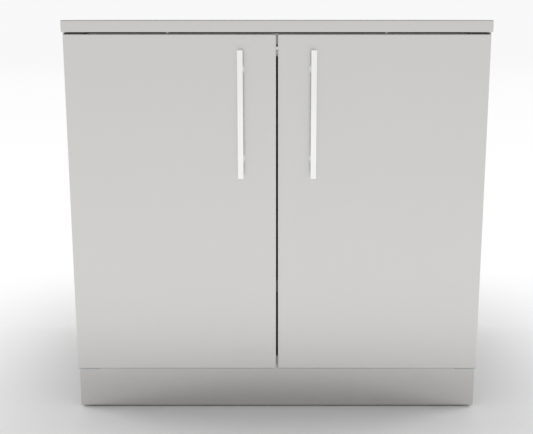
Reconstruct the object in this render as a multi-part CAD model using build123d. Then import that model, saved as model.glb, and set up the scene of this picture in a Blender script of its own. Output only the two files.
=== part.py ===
from build123d import *
import os

# Two-door storage cabinet in folded stainless sheet, with a stainless worktop on a board core.
# Lengths are in millimetres. X runs along the front, the doors face -Y, Z is up.
# The origin is on the floor, in the middle of the whole outline, handles included.

# Driving sizes of the whole cabinet
cabinet_width = 914.0
cabinet_height = 884.0
worktop_depth = 610.0
worktop_thickness = 25.0
worktop_nose = 6.0
worktop_lip = 50.0
plinth_height = 99.0
plinth_floor_gap = 4.0
plinth_flange = 20.0
plinth_lip = 12.0

# Folded sheet and the fits between its pieces
sheet = 1.2
inner_bend = 1.3
outer_bend = inner_bend + sheet
pan_fit = 0.3
glue_line = 0.3
seat_gap = 0.3
overrun = 5.0
quarter_turn = 90

# Carcass
side_thickness = 20.0
liner_hem = 15.0
back_flange = 20.0
rail_height = 27.0
rail_depth = 60.0
rail_lip = 24.0
floor_height = 27.0
floor_lip = 40.0
wall_fixing_spacing = 600.0
wall_fixing_radius = 4.0

# Doors
door_thickness = 20.0
door_standoff = 2.5
door_end_gap = 4.0
door_centre_gap = 3.4
door_side_margin = 2.0
door_lip = 12.0

# Bar handles
handle_projection = 35.0
handle_bar_width = 12.0
handle_bar_edge = 0.8
handle_post_radius = 4.0
handle_post_spacing = 192.0
handle_overhang = 40.8
handle_inset = 76.3
handle_drop = 73.0
handle_screw_bite = 12.0

# Offset pivot hinges
pivot_from_edge = 6.0
pivot_depth = 10.0
pin_radius = 2.5
pin_reach = 12.0
pin_press_gap = 0.02
pin_running_gap = 0.05
bush_radius = 3.5
bush_length = 14.0
bush_flange_radius = 4.5
bush_flange = 0.5
bracket_thickness = 2.0
bracket_nose_radius = 7.0
bracket_tail_width = 26.0
bracket_tail_length = 40.0
bracket_side_gap = 3.0
bracket_corner = 4.0
bracket_screw_setback = 31.0
bracket_screw_spacing = 13.0
bracket_screw_rise = 0.8
bracket_head_room = 1.2

# Screws
screw_radius = 2.0
screw_head_radius = 4.0
screw_head_height = 2.2
screw_hole_gap = 0.1
board_bite = 14.0
sheet_bite = 8.0
worktop_screw_spacing = 300.0
worktop_screw_setback = 42.0
spacer_radius = 9.0
rail_screw_first = 20.0
rail_screw_second = 46.0

# Magnetic catch and its strike plates
catch_length = 64.0
catch_height = 24.0
catch_depth = 16.0
catch_ear_length = 12.0
catch_ear_height = 3.0
catch_edge = 1.0
catch_post_width = 8.0
catch_head_gap = 4.0
pole_length = 52.0
pole_thickness = 2.0
pole_depth = 12.0
pole_low_margin = 1.5
magnet_height = 7.0
magnet_recess = 1.5
magnet_parting = 2.0
strike_length = 26.0
strike_height = 18.0
strike_thickness = 1.2
strike_margin = 4.0
strike_screw_spacing = 9.0
strike_screw_radius = 1.5
strike_head_radius = 2.6
strike_head_height = 0.7

# Rubber bumpers
bumper_radius = 5.0
bumper_edge = 0.8
bumper_inset = 56.0

# Shelf, its clips and the slots they hook into
shelf_row = 3
shelf_height = 28.0
shelf_lip = 14.0
shelf_side_gap = 2.0
shelf_setback = 40.0
shelf_back_gap = 3.0
stiffener_width = 70.0
stiffener_height = 18.0
slot_column_inset = 72.0
slot_width = 4.0
slot_height = 14.0
slot_pitch = 25.0
slot_lowest = 193.0
slot_rows = 20
clip_width = 18.0
clip_ledge = 12.0
clip_thickness = 1.6
clip_height = 18.0
clip_tab_height = 8.0

# Levelling feet
foot_inset = 78.0
foot_bracket_width = 80.0
foot_bracket_thickness = 3.0
foot_nut_width = 17.0
foot_nut_height = 10.0
foot_thread_gap = 0.05
foot_stem_radius = 5.0
foot_stem_rise = 12.0
foot_hex_width = 14.0
foot_hex_height = 8.0
foot_hex_gap = 2.0
foot_pad_radius = 24.0
foot_pad_top_radius = 15.0
foot_pad_height = 12.0
foot_pad_rim = 4.0
foot_socket_depth = 7.0

# Places worked out from the driving sizes
half_width = cabinet_width / 2
overall_depth = worktop_depth - worktop_nose + handle_projection
back_y = overall_depth / 2
worktop_front = back_y - worktop_depth
door_face = worktop_front + worktop_nose
door_back = door_face + door_thickness
carcass_front = door_back + door_standoff
carcass_top = cabinet_height - worktop_thickness
carcass_bottom = plinth_height
liner_face = half_width - side_thickness
panel_front = back_y - back_flange
floor_top = carcass_bottom + floor_height
rail_bottom = carcass_top - rail_height
front_rail_top = carcass_top - bracket_thickness - bracket_head_room
door_top = carcass_top - door_end_gap
door_bottom = carcass_bottom + door_end_gap
door_outer = half_width - door_side_margin
door_inner = door_centre_gap / 2
handle_x = door_inner + handle_inset
upper_post = door_top - handle_drop
lower_post = upper_post - handle_post_spacing
pivot_x = door_outer - pivot_from_edge
pivot_y = door_back - pivot_depth
hole_radius = screw_radius + screw_hole_gap
plinth_inner = carcass_front + plinth_flange


def box_between(low, high):
    """A box between its lowest and highest corners."""
    size = [b - a for a, b in zip(low, high)]
    middle = [(a + b) / 2 for a, b in zip(low, high)]
    return Pos(*middle) * Box(*size)


def rod(axis, across, start, end, radius):
    """A round bar along an axis; across is its place on the other two, in X, Y, Z order."""
    bar = Cylinder(radius, abs(end - start))
    middle = (start + end) / 2
    first, second = across
    if axis == "X":
        return Pos(middle, first, second) * Rot(0, quarter_turn, 0) * bar
    if axis == "Y":
        return Pos(first, middle, second) * Rot(quarter_turn, 0, 0) * bar
    return Pos(first, second, middle) * bar


def screw(axis, across, seat, tip, radius=screw_radius, head=screw_head_radius, height=screw_head_height):
    """A headed screw: its head bears on seat and its shank ends at tip."""
    head_end = seat - height if tip > seat else seat + height
    return rod(axis, across, head_end, seat, head) + rod(axis, across, seat, tip, radius)


def group(shapes):
    """Separate solids kept together as one piece of the list."""
    return Compound([solid for shape in shapes for solid in shape.solids()])


def mirrored(shape):
    """The same piece on the other side of the cabinet."""
    return mirror(shape, about=Plane.YZ)


def round_folds(solid, axis, closed_end, radius):
    """Round the folds of a pan: round its closed face, and along its four corners."""
    direction = (Axis.X, Axis.Y, Axis.Z)[axis]
    edges = solid.edges()
    return fillet(edges.filter_by(direction) + edges.group_by(direction)[closed_end], radius)


def folded_pan(low, high, mouth, lip=0, rounded=True):
    """A pan of folded sheet between two corners, open at its mouth, with its rim turned in by lip."""
    axis = "XYZ".index(mouth[1])
    faces_up = mouth[0] == "+"
    closed_end = 0 if faces_up else -1
    hollow_low = [value + sheet for value in low]
    hollow_high = [value - sheet for value in high]
    if lip == 0 and faces_up:
        hollow_high[axis] = high[axis] + overrun
    if lip == 0 and not faces_up:
        hollow_low[axis] = low[axis] - overrun
    body = box_between(low, high)
    hollow = box_between(hollow_low, hollow_high)
    if rounded:
        body = round_folds(body, axis, closed_end, outer_bend)
        hollow = round_folds(hollow, axis, closed_end, inner_bend)
    pan = body - hollow
    if lip == 0:
        return pan
    window_low = [value + lip for value in low]
    window_high = [value - lip for value in high]
    rim = high[axis] if faces_up else low[axis]
    window_low[axis] = rim - overrun
    window_high[axis] = rim + overrun
    return pan - box_between(window_low, window_high)


# Worktop
worktop_low = (-half_width, worktop_front, carcass_top)
worktop_high = (half_width, back_y, cabinet_height)
front_screw_y = carcass_front + worktop_screw_setback
rear_screw_y = panel_front - worktop_screw_setback
worktop_screw_places = [
    (column * worktop_screw_spacing, y) for y in (front_screw_y, rear_screw_y) for column in (-1, 0, 1)
]
bracket_screw_y = carcass_front + bracket_screw_setback
bracket_tail_outer = liner_face - bracket_side_gap
bracket_tail_middle = bracket_tail_outer - bracket_tail_width / 2
bracket_screw_places = [
    (side * (bracket_tail_middle + step * bracket_screw_spacing / 2), bracket_screw_y)
    for side in (-1, 1) for step in (-1, 1)
]


def make_worktop_skin():
    """The folded top sheet, its four edges turned down and in under the board."""
    return folded_pan(worktop_low, worktop_high, "-Z", lip=worktop_lip)


def make_worktop_core():
    """The board glued inside the skin, with pilot holes for the screws that come up from below."""
    inset = sheet + glue_line
    low = [value + inset for value in worktop_low]
    high = [value - inset for value in worktop_high]
    core = round_folds(box_between(low, high), 2, -1, inner_bend - glue_line)
    for place in worktop_screw_places:
        core -= rod("Z", place, low[2] - overrun, carcass_top + board_bite + glue_line, hole_radius)
    return core


def make_worktop_screws():
    """Screws up through the rails into the board."""
    screws = []
    for place in worktop_screw_places:
        rail_top = front_rail_top if place[1] == front_screw_y else carcass_top
        screws.append(screw("Z", place, rail_top - sheet, carcass_top + board_bite))
    return group(screws)


def make_worktop_spacers():
    """Rings round the front screws, which fill the gap between the lowered rail and the worktop."""
    return group(
        rod("Z", place, front_rail_top, carcass_top, spacer_radius)
        - rod("Z", place, front_rail_top - overrun, carcass_top + overrun, hole_radius)
        for place in worktop_screw_places if place[1] == front_screw_y
    )


# Sides
def make_side_shell():
    """The outer skin of the left side, folded in at all four edges."""
    low = (-half_width, carcass_front, carcass_bottom)
    high = (-liner_face, back_y, carcass_top)
    return folded_pan(low, high, "+X")


slot_columns = (carcass_front + slot_column_inset, panel_front - slot_column_inset)
rail_screw_height = (rail_bottom + carcass_top) / 2
rail_screw_places = [
    (place, rail_screw_height)
    for setback in (rail_screw_first, rail_screw_second)
    for place in (carcass_front + setback, panel_front - setback)
]


def make_side_liner():
    """The inner skin of the left side, nested in the outer one, with slots for the shelf clips."""
    low = (-liner_face - liner_hem, carcass_front + sheet + pan_fit, carcass_bottom + sheet + pan_fit)
    high = (-liner_face, back_y - sheet - pan_fit, carcass_top - sheet - pan_fit)
    liner = folded_pan(low, high, "-X")
    outside = -liner_face - sheet - overrun
    inside = -liner_face + overrun
    slots = []
    for column in slot_columns:
        for row in range(slot_rows):
            top = slot_lowest + row * slot_pitch
            slot_low = (outside, column - slot_width / 2, top - slot_height)
            slots.append(box_between(slot_low, (inside, column + slot_width / 2, top)))
    holes = [rod("X", place, outside, inside, hole_radius) for place in rail_screw_places]
    return liner - slots - holes


# Rails, back and floor of the carcass
def make_rail(top):
    """A rail at the front: a channel with its web forward, a lip below and a tab at each end."""
    half = liner_face - pan_fit
    rear = carcass_front + rail_depth
    rail = box_between((-half, carcass_front, rail_bottom), (half, rear, top))
    inner = half - sheet
    hollow_low = (-inner, carcass_front + sheet, rail_bottom + sheet)
    rail -= box_between(hollow_low, (inner, rear + overrun, top - sheet))
    below_low = (-inner, carcass_front + rail_lip, rail_bottom - overrun)
    rail -= box_between(below_low, (inner, rear + overrun, top - sheet))
    for place in rail_screw_places:
        rail -= rod("X", place, -half - overrun, half + overrun, hole_radius)
    return rail


def make_front_rail():
    """The front rail, lowered to carry the pivot brackets, and drilled for its screws and theirs."""
    rail = make_rail(front_rail_top)
    for side in (-1, 1):
        lip_place = (side * catch_screw_x, catch_screw_y)
        rail -= rod("Z", lip_place, rail_bottom - overrun, rail_bottom + overrun, hole_radius)
    for place in worktop_screw_places + bracket_screw_places:
        rail -= rod("Z", place, front_rail_top - overrun, front_rail_top + overrun, hole_radius)
    return rail


def make_rear_rail():
    """The rear rail: the front one turned about, with two holes for fixing to a wall."""
    middle = (carcass_front + panel_front) / 2
    rail = mirror(make_rail(carcass_top), about=Plane.XZ.offset(-middle))
    for place in worktop_screw_places:
        rail -= rod("Z", place, carcass_top - sheet - overrun, carcass_top + overrun, hole_radius)
    return rail - make_wall_fixing_holes()


def make_wall_fixing_holes():
    """The pair of wall fixing holes, cut through the rear rail and the back panel alike."""
    start = panel_front - sheet - overrun
    return [
        rod("Y", (side * wall_fixing_spacing / 2, rail_screw_height), start, back_y + overrun, wall_fixing_radius)
        for side in (-1, 1)
    ]


def make_rail_screws():
    """Screws through the rails' end tabs into the sides."""
    seat = liner_face - pan_fit - sheet
    tip = liner_face + sheet_bite
    return group(
        screw("X", place, side * seat, side * tip) for side in (-1, 1) for place in rail_screw_places
    )


def make_back_panel():
    """The back: a pan with its flanges turned to the rear."""
    half = liner_face - pan_fit
    low = (-half, panel_front, carcass_bottom)
    panel = folded_pan(low, (half, back_y, carcass_top), "+Y", rounded=False)
    return panel - make_wall_fixing_holes()


def make_bottom_panel():
    """The floor of the cabinet: a pan turned down, its front flange slotted for the lower brackets."""
    half = liner_face - pan_fit
    low = (-half, carcass_front, carcass_bottom)
    panel = folded_pan(low, (half, panel_front, floor_top), "-Z", lip=floor_lip, rounded=False)
    slot_bottom = carcass_bottom + sheet
    slot_top = slot_bottom + bracket_thickness + pan_fit
    for side in (-1, 1):
        edges = sorted((side * (bracket_tail_outer + pan_fit),
                        side * (bracket_tail_outer - bracket_tail_width - pan_fit)))
        slot_low = (edges[0], carcass_front - overrun, slot_bottom)
        panel -= box_between(slot_low, (edges[1], carcass_front + sheet, slot_top))
    for place in bracket_screw_places:
        panel -= rod("Z", place, carcass_bottom - overrun, slot_bottom + sheet, hole_radius)
    return panel


# Offset pivot hinges
def make_pivot_bracket(bottom):
    """One left bracket: a tail inside the carcass and a nose that reaches out to the pin."""
    top = bottom + bracket_thickness
    tail_inner = bracket_tail_outer - bracket_tail_width
    nose_front = pivot_y - bracket_nose_radius
    nose_low = (-pivot_x, nose_front, bottom)
    nose = box_between(nose_low, (-tail_inner, pivot_y + bracket_nose_radius, top))
    tail_low = (-bracket_tail_outer, nose_front, bottom)
    tail = box_between(tail_low, (-tail_inner, carcass_front + bracket_tail_length, top))
    plate = nose + tail
    corners = plate.edges().filter_by(Axis.Z).group_by(Axis.X)
    plate = fillet(corners[1] + corners[2], bracket_corner)
    plate += rod("Z", (-pivot_x, pivot_y), bottom, top, bracket_nose_radius)
    plate -= rod("Z", (-pivot_x, pivot_y), bottom - overrun, top + overrun, pin_radius + pin_press_gap)
    for place in bracket_screw_places:
        plate -= rod("Z", place, bottom - overrun, top + overrun, hole_radius)
    return plate


def make_pivot_brackets():
    """The left door's two brackets, one on the front rail and one on the floor pan's lip."""
    upper = make_pivot_bracket(front_rail_top)
    return group((upper, make_pivot_bracket(carcass_bottom + sheet)))


def make_pivot_pins():
    """The left door's two pins, riveted in the brackets."""
    place = (-pivot_x, pivot_y)
    upper = rod("Z", place, door_top - pin_reach, front_rail_top + bracket_thickness, pin_radius)
    return group((upper, rod("Z", place, carcass_bottom + sheet, door_bottom + pin_reach, pin_radius)))


def make_pivot_screws():
    """The screws of all four brackets: the upper ones come up through the rail into the bracket."""
    upper_seat = front_rail_top - sheet
    upper_tip = front_rail_top + bracket_thickness + bracket_screw_rise
    lower_seat = carcass_bottom + sheet + bracket_thickness
    upper = [screw("Z", place, upper_seat, upper_tip) for place in bracket_screw_places]
    lower = [screw("Z", place, lower_seat, carcass_bottom - sheet_bite) for place in bracket_screw_places]
    return group(upper + lower)


def make_pivot_bushes():
    """The left door's two flanged bushes, which run on the pins."""
    bushes = []
    for edge, outwards in ((door_top, 1), (door_bottom, -1)):
        place = (-pivot_x, pivot_y)
        inner_end = edge - outwards * bush_length
        outer_end = edge + outwards * bush_flange
        bush = rod("Z", place, inner_end, edge, bush_radius) + rod("Z", place, edge, outer_end, bush_flange_radius)
        bore_start = inner_end - outwards * overrun
        bore_end = outer_end + outwards * overrun
        bushes.append(bush - rod("Z", place, bore_start, bore_end, pin_radius + pin_running_gap))
    return group(bushes)


# Doors, built on the left and mirrored for the right
post_places = [(-handle_x, height) for height in (lower_post, upper_post)]
strike_middle = door_inner + strike_margin + strike_length / 2
pole_low = rail_bottom - catch_height + pole_low_margin
pole_high = pole_low + 2 * pole_thickness + magnet_height
strike_z = (pole_low + pole_high) / 2
strike_screw_places = [
    (-strike_middle, strike_z + step * strike_screw_spacing / 2) for step in (-1, 1)
]


def make_door_skin():
    """The left door's outer pan, with holes for the handle screws and the pivot bushes."""
    low = (-door_outer, door_face, door_bottom)
    skin = folded_pan(low, (-door_inner, door_back, door_top), "+Y", lip=door_lip)
    for place in post_places:
        skin -= rod("Y", place, door_face - overrun, door_face + overrun, hole_radius)
    for edge in (door_bottom, door_top):
        skin -= rod("Z", (-pivot_x, pivot_y), edge - overrun, edge + overrun, bush_radius + pin_press_gap)
    return skin


def make_door_liner():
    """The left door's inner pan: its rim lies behind the skin's lip, its field stands flush with it."""
    rim = sheet + pan_fit
    field = door_lip + pan_fit
    hollow = field + sheet
    front = door_back - 2 * sheet
    plate = box_between((-door_outer + rim, front, door_bottom + rim),
                        (-door_inner - rim, door_back - sheet, door_top - rim))
    plate = fillet(plate.edges().filter_by(Axis.Y), inner_bend - pan_fit)
    plate += box_between((-door_outer + field, front, door_bottom + field),
                         (-door_inner - field, door_back, door_top - field))
    plate -= box_between((-door_outer + hollow, front - overrun, door_bottom + hollow),
                         (-door_inner - hollow, door_back - sheet, door_top - hollow))
    for place in post_places:
        plate -= rod("Y", place, front - overrun, door_back + overrun, hole_radius)
    for place in strike_screw_places:
        plate -= rod("Y", place, front - overrun, door_back + overrun, strike_screw_radius + screw_hole_gap)
    return plate


def make_door_core():
    """The left door's honeycomb filling, taken as a solid board, cleared for what passes through it."""
    inset = sheet + glue_line
    rear = door_back - 2 * sheet - glue_line
    core = box_between((-door_outer + inset, door_face + inset, door_bottom + inset),
                       (-door_inner - inset, rear, door_top - inset))
    core = round_folds(core, 1, 0, inner_bend - glue_line)
    for place in post_places:
        core -= rod("Y", place, door_face - overrun, rear + overrun, hole_radius)
    for place in strike_screw_places:
        core -= rod("Y", place, door_back - board_bite, rear + overrun, strike_screw_radius + screw_hole_gap)
    depth = bush_length + glue_line
    for start, end in ((door_top - depth, door_top), (door_bottom, door_bottom + depth)):
        core -= rod("Z", (-pivot_x, pivot_y), start, end, bush_radius + glue_line)
    return core


def make_handle_bar():
    """The left door's square bar."""
    half = handle_bar_width / 2
    front = door_face - handle_projection
    low = (-handle_x - half, front, lower_post - handle_overhang)
    high = (-handle_x + half, front + handle_bar_width, upper_post + handle_overhang)
    bar = box_between(low, high)
    return fillet(bar.edges(), handle_bar_edge)


def make_handle_posts():
    """The left handle's two posts, bored for the screws that come through the door."""
    start = door_face - handle_projection + handle_bar_width
    bore_start = door_face - handle_screw_bite - screw_hole_gap
    return group(
        rod("Y", place, start, door_face, handle_post_radius)
        - rod("Y", place, bore_start, door_face + overrun, hole_radius)
        for place in post_places
    )


def make_handle_screws():
    """Screws from inside the left door into the handle's posts."""
    tip = door_face - handle_screw_bite
    return group(screw("Y", place, door_back, tip) for place in post_places)


def make_strike_plate():
    """The plate on the left door that the magnets hold."""
    half_length = strike_length / 2
    half_height = strike_height / 2
    plate = box_between((-strike_middle - half_length, door_back, strike_z - half_height),
                        (-strike_middle + half_length, door_back + strike_thickness, strike_z + half_height))
    for place in strike_screw_places:
        plate -= rod("Y", place, door_back - overrun, door_back + overrun, strike_screw_radius + screw_hole_gap)
        seat = door_back + strike_thickness - strike_head_height
        plate -= rod("Y", place, seat, seat + overrun, strike_head_radius + screw_hole_gap)
    return plate


def make_strike_screws():
    """Flush screws of the left strike plate."""
    seat = door_back + strike_thickness - strike_head_height
    tip = door_back - board_bite + glue_line
    return group(
        screw("Y", place, seat, tip, strike_screw_radius, strike_head_radius, strike_head_height)
        for place in strike_screw_places
    )


def make_bumpers():
    """The left door's rubber bumpers, one for the rail and one for the floor's front flange."""
    rear = door_back + door_standoff - seat_gap
    bumpers = []
    for height in (rail_screw_height, (carcass_bottom + floor_top) / 2):
        pad = rod("Y", (-door_inner - bumper_inset, height), door_back, rear, bumper_radius)
        bumpers.append(fillet(pad.edges().group_by(Axis.Y)[-1], bumper_edge))
    return group(bumpers)


# Magnetic catch
catch_screw_x = catch_length / 2 + catch_ear_length / 2
catch_screw_y = carcass_front + catch_depth / 2
pole_face = door_back + strike_thickness + seat_gap


def make_catch_housing():
    """The catch's body, open at the front for its magnets, hung on a post and an ear at each end."""
    half = catch_length / 2
    rear = carcass_front + catch_depth
    body = box_between((-half, carcass_front, rail_bottom - catch_height), (half, rear, rail_bottom))
    body = fillet(body.edges().group_by(Axis.Z)[0], catch_edge)
    ear = half + catch_ear_length
    body += box_between((-ear, carcass_front, rail_bottom - catch_ear_height), (ear, rear, rail_bottom))
    post = half - catch_post_width
    body -= box_between((-post, carcass_front - overrun, rail_bottom - catch_head_gap),
                        (post, rear + overrun, rail_bottom + overrun))
    pocket = pole_length / 2 + pan_fit
    body -= box_between((-pocket, carcass_front - overrun, pole_low - pan_fit),
                        (pocket, pole_face + pole_depth + pan_fit, pole_high + pan_fit))
    for side in (-1, 1):
        place = (side * catch_screw_x, catch_screw_y)
        body -= rod("Z", place, rail_bottom - catch_height, rail_bottom + overrun, hole_radius)
    return body


def make_catch_poles():
    """Two steel pole plates, one above and one below the magnets."""
    half = pole_length / 2
    rear = pole_face + pole_depth
    lower = box_between((-half, pole_face, pole_low), (half, rear, pole_low + pole_thickness))
    return group((lower, box_between((-half, pole_face, pole_high - pole_thickness), (half, rear, pole_high))))


def make_catch_magnets():
    """Two magnets between the pole plates, one for each door."""
    near = magnet_parting / 2
    far = pole_length / 2
    low = (near, pole_face + magnet_recess, pole_low + pole_thickness)
    magnet = box_between(low, (far, pole_face + pole_depth, pole_high - pole_thickness))
    return group((magnet, mirrored(magnet)))


def make_catch_screws():
    """Screws up through the catch's ears into the rail's lip."""
    seat = rail_bottom - catch_ear_height
    return group(
        screw("Z", (side * catch_screw_x, catch_screw_y), seat, rail_bottom + sheet_bite) for side in (-1, 1)
    )


# Shelf and clips
shelf_seat = slot_lowest + shelf_row * slot_pitch
shelf_low_z = shelf_seat + seat_gap
shelf_half = liner_face - shelf_side_gap
shelf_front = carcass_front + shelf_setback
shelf_rear = panel_front - shelf_back_gap


def make_shelf_tray():
    """The shelf: a pan turned down, with its rim turned in."""
    low = (-shelf_half, shelf_front, shelf_low_z)
    return folded_pan(low, (shelf_half, shelf_rear, shelf_low_z + shelf_height), "-Z", lip=shelf_lip)


def make_shelf_stiffener():
    """The channel welded under the middle of the shelf."""
    half = shelf_half - outer_bend - pan_fit
    middle = (shelf_front + shelf_rear) / 2
    top = shelf_low_z + shelf_height - sheet
    low = (-half, middle - stiffener_width / 2, top - stiffener_height)
    return folded_pan(low, (half, middle + stiffener_width / 2, top), "+Z", rounded=False)


def make_shelf_clip(column):
    """One left clip: a ledge and a backplate, with a tab hooked through the liner's slot."""
    near = column - clip_width / 2
    far = column + clip_width / 2
    ledge_low = (-liner_face, near, shelf_seat - clip_thickness)
    clip = box_between(ledge_low, (-liner_face + clip_ledge, far, shelf_seat))
    plate_low = (-liner_face, near, shelf_seat - clip_height)
    clip += box_between(plate_low, (-liner_face + clip_thickness, far, shelf_seat))
    half_tab = slot_width / 2 - pan_fit
    hook_face = -liner_face - sheet - pan_fit
    tab_top = shelf_seat - clip_thickness
    tab_bottom = tab_top - clip_tab_height
    clip += box_between((hook_face - clip_thickness, column - half_tab, tab_bottom),
                        (-liner_face, column + half_tab, tab_top))
    clip += box_between((hook_face - clip_thickness, column - half_tab, shelf_seat - clip_height),
                        (hook_face, column + half_tab, tab_top))
    return clip


def make_shelf_clips():
    """The four clips under the shelf."""
    left = [make_shelf_clip(column) for column in slot_columns]
    return group(left + [mirrored(clip) for clip in left])


# Plinth and feet
def make_plinth_front():
    """The front of the plinth, right across the cabinet."""
    low = (-half_width, carcass_front, plinth_floor_gap)
    return folded_pan(low, (half_width, plinth_inner, carcass_bottom), "+Y", lip=plinth_lip)


def make_plinth_rear():
    """The rear of the plinth."""
    low = (-half_width, back_y - plinth_flange, plinth_floor_gap)
    return folded_pan(low, (half_width, back_y, carcass_bottom), "-Y", lip=plinth_lip)


def make_plinth_side():
    """The left side of the plinth, between its front and rear."""
    low = (-half_width, plinth_inner, plinth_floor_gap)
    high = (-half_width + plinth_flange, back_y - plinth_flange, carcass_bottom)
    return folded_pan(low, high, "+X", lip=plinth_lip, rounded=False)


foot_x = half_width - foot_inset
foot_front_y = carcass_front + foot_inset
foot_rear_y = back_y - foot_inset
foot_bracket_bottom = carcass_bottom - foot_bracket_thickness
feet = {
    "front_left_foot": (-foot_x, foot_front_y),
    "front_right_foot": (foot_x, foot_front_y),
    "rear_left_foot": (-foot_x, foot_rear_y),
    "rear_right_foot": (foot_x, foot_rear_y),
}


def hexagon(place, bottom, top, width):
    """A hexagonal bar, sized across its flats."""
    prism = extrude(RegularPolygon(width / 2, 6, major_radius=False), top - bottom)
    return Pos(place[0], place[1], bottom) * prism


def make_foot_brackets():
    """A plate for each foot, welded under the floor pan's lip and clear of the plinth."""
    half = foot_bracket_width / 2
    plates = []
    for x, y in feet.values():
        low = (x - half, y - half, foot_bracket_bottom)
        plate = box_between(low, (x + half, y + half, carcass_bottom))
        hole = foot_stem_radius + screw_hole_gap
        plates.append(plate - rod("Z", (x, y), low[2] - overrun, carcass_bottom + overrun, hole))
    return group(plates)


def make_foot_nuts():
    """A weld nut under each plate."""
    bottom = foot_bracket_bottom - foot_nut_height
    bore = foot_stem_radius + foot_thread_gap
    return group(
        hexagon(place, bottom, foot_bracket_bottom, foot_nut_width)
        - rod("Z", place, bottom - overrun, foot_bracket_bottom + overrun, bore)
        for place in feet.values()
    )


def make_foot_stem(place):
    """A foot's threaded stem, with a hexagon for the spanner."""
    start = foot_pad_height - foot_socket_depth
    stem = rod("Z", place, start, carcass_bottom + foot_stem_rise, foot_stem_radius)
    hex_bottom = foot_pad_height + foot_hex_gap
    return stem + hexagon(place, hex_bottom, hex_bottom + foot_hex_height, foot_hex_width)


def make_foot_pad(place):
    """A foot's moulded pad: an upright rim, then a cone, with a socket for the stem."""
    pad = rod("Z", place, 0, foot_pad_rim, foot_pad_radius)
    cone_height = foot_pad_height - foot_pad_rim
    cone = Cone(foot_pad_radius, foot_pad_top_radius, cone_height)
    pad += Pos(place[0], place[1], foot_pad_rim + cone_height / 2) * cone
    socket_start = foot_pad_height - foot_socket_depth
    return pad - rod("Z", place, socket_start, foot_pad_height + overrun, foot_stem_radius + foot_thread_gap)


# Every piece, by name
pieces = {
    "worktop_skin": make_worktop_skin(),
    "worktop_core": make_worktop_core(),
    "worktop_screws": make_worktop_screws(),
    "worktop_spacers": make_worktop_spacers(),
    "top_front_rail": make_front_rail(),
    "top_rear_rail": make_rear_rail(),
    "rail_screws": make_rail_screws(),
    "back_panel": make_back_panel(),
    "bottom_panel": make_bottom_panel(),
    "shelf_clips": make_shelf_clips(),
    "shelf_tray": make_shelf_tray(),
    "shelf_stiffener": make_shelf_stiffener(),
    "catch_housing": make_catch_housing(),
    "catch_pole_plates": make_catch_poles(),
    "catch_magnets": make_catch_magnets(),
    "catch_screws": make_catch_screws(),
    "pivot_screws": make_pivot_screws(),
    "plinth_front": make_plinth_front(),
    "plinth_rear": make_plinth_rear(),
    "foot_brackets": make_foot_brackets(),
    "foot_nuts": make_foot_nuts(),
}

handed_pieces = {
    "side_shell": make_side_shell(),
    "side_liner": make_side_liner(),
    "plinth_side": make_plinth_side(),
    "pivot_brackets": make_pivot_brackets(),
    "pivot_pins": make_pivot_pins(),
    "door_skin": make_door_skin(),
    "door_liner": make_door_liner(),
    "door_core": make_door_core(),
    "door_bushes": make_pivot_bushes(),
    "handle_bar": make_handle_bar(),
    "handle_posts": make_handle_posts(),
    "handle_screws": make_handle_screws(),
    "strike_plate": make_strike_plate(),
    "strike_screws": make_strike_screws(),
    "door_bumpers": make_bumpers(),
}
for name, shape in handed_pieces.items():
    pieces["left_" + name] = shape
    pieces["right_" + name] = mirrored(shape)

for name, place in feet.items():
    pieces[name + "_stem"] = make_foot_stem(place)
    pieces[name + "_pad"] = make_foot_pad(place)

os.makedirs("parts", exist_ok=True)
for name, shape in pieces.items():
    export_step(shape, os.path.join("parts", name + ".step"))
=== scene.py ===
"""The looks of a two-door storage cabinet in satin stainless steel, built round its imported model."""
import logging
import math
from collections.abc import Callable, Iterable, Sequence
from dataclasses import dataclass
from enum import Enum

import bmesh
import bpy
from mathutils import Matrix, Vector


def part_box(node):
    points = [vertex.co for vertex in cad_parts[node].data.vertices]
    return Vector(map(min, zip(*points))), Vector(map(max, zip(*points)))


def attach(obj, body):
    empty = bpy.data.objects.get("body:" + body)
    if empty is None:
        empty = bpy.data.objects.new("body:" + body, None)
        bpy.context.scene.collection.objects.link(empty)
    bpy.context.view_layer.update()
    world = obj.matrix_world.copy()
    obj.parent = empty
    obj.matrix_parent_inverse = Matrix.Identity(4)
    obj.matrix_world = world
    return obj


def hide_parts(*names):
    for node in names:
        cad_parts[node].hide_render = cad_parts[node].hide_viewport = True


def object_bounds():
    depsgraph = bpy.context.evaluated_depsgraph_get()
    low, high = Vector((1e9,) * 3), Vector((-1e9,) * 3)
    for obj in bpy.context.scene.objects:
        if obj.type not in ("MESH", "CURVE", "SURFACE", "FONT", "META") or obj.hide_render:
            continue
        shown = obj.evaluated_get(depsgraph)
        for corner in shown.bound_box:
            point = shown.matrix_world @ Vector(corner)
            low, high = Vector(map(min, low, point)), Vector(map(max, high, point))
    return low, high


LOG = logging.getLogger("cabinet")

# Lengths are in metres, as in the frame. One millimetre is written MM.
MM = 0.001
MERGE_DISTANCE = 0.01 * MM
SHARP_ANGLE = math.radians(32)
# A cross recess: half the angle of a wing, and how far the corners between the wings reach, as a share of them.
RECESS_WING = math.tau / 28
RECESS_CORE = 0.42
# The end of a chamfered hexagon, as a share of half its width across flats.
HEXAGON_END = 0.97
UP = Vector((0, 0, 1))
TOWARDS_BACK = Vector((0, 1, 0))
TOWARDS_RIGHT = Vector((1, 0, 0))

Colour = tuple[float, float, float]
Outline = list[tuple[float, float]]

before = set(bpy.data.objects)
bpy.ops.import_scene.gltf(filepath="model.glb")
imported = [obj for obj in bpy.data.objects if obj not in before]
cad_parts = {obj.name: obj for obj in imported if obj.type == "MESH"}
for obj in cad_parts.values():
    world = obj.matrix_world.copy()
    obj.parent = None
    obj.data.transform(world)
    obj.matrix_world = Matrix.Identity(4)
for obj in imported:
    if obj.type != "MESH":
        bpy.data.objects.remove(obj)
cad_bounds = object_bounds()


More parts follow.
